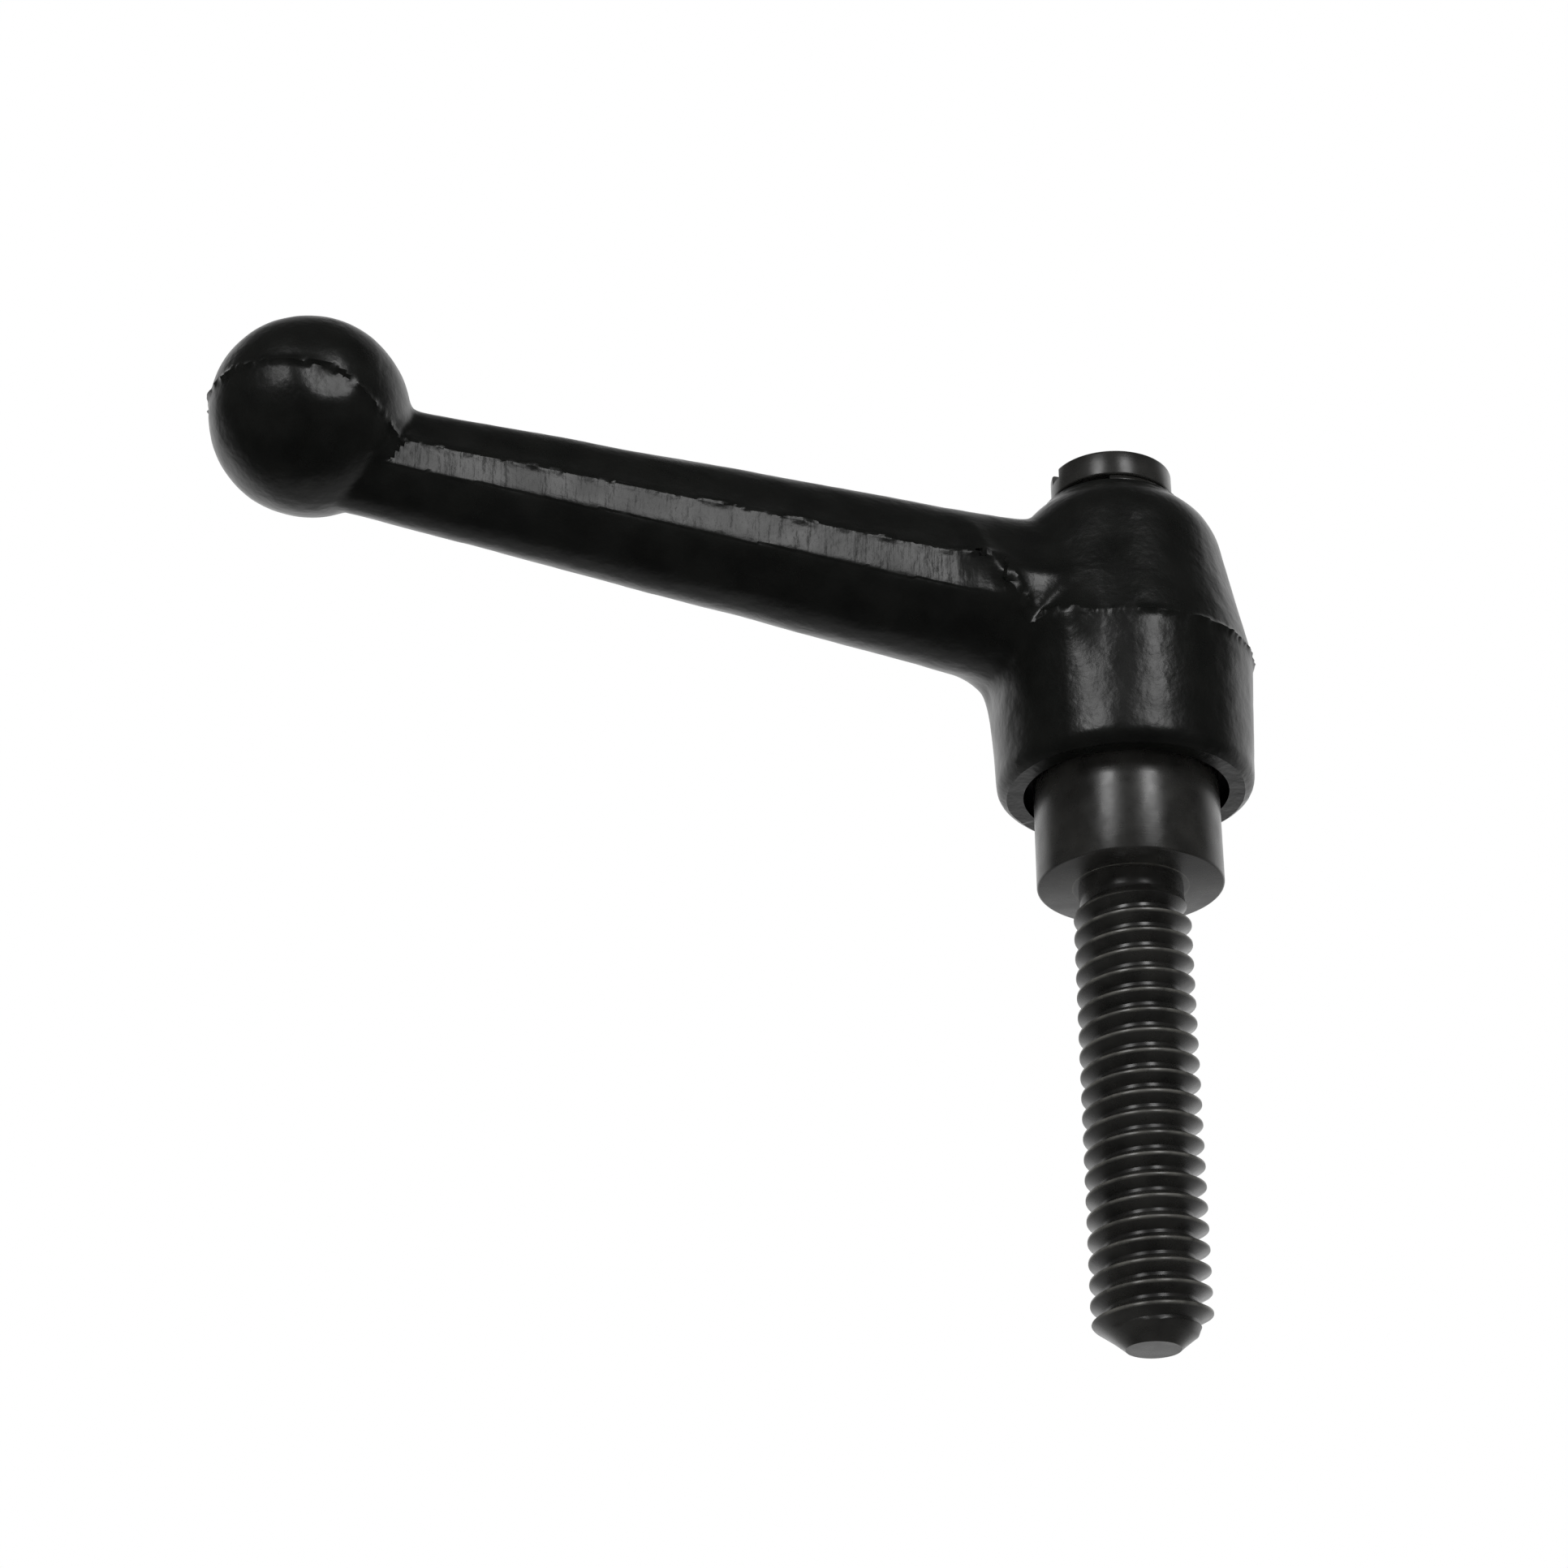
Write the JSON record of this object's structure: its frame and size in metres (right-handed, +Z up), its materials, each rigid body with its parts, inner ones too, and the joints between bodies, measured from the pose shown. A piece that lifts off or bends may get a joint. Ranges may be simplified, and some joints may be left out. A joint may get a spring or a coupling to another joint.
{
  "type": "adjustable clamping lever",
  "caption": "Cast lever with a ball end on a threaded stud; it lifts against a spring, turns to a new place and drops back on its serrations to clamp.",
  "frame": {"origin": "centre of the collar's seat face, on the stud's axis", "axes": "+Z up the stud's axis from the seat face towards the hub, +X along the lever's arm at rest"},
  "size_m": [0.0725, 0.018, 0.065],
  "materials": {
    "lever_casting": "satin black coating over a cast skin",
    "stud_steel": "turned, black oxide",
    "spring_steel": "drawn wire, black oxide",
    "screw_steel": "turned, black oxide"
  },
  "bodies": {
    "stud": {"threaded_stud": "stud_steel", "retaining_screw": "screw_steel"},
    "spring": {"return_spring": "spring_steel"},
    "lever": {"lever_handle": "lever_casting"}
  },
  "joints": [
    {"name": "lever_turn", "type": "hinge", "parent": "stud", "child": "spring", "pos_m": [0, 0, 0.02], "axis": [0, 0, 1], "continuous": true},
    {"name": "lever_lift", "type": "slide", "parent": "spring", "child": "lever", "axis": [0, 0, 1], "range_m": [0, 0.004], "stiffness_N_per_m": 2000, "springref_m": -0.004, "deforming": ["return_spring"]}
  ]
}
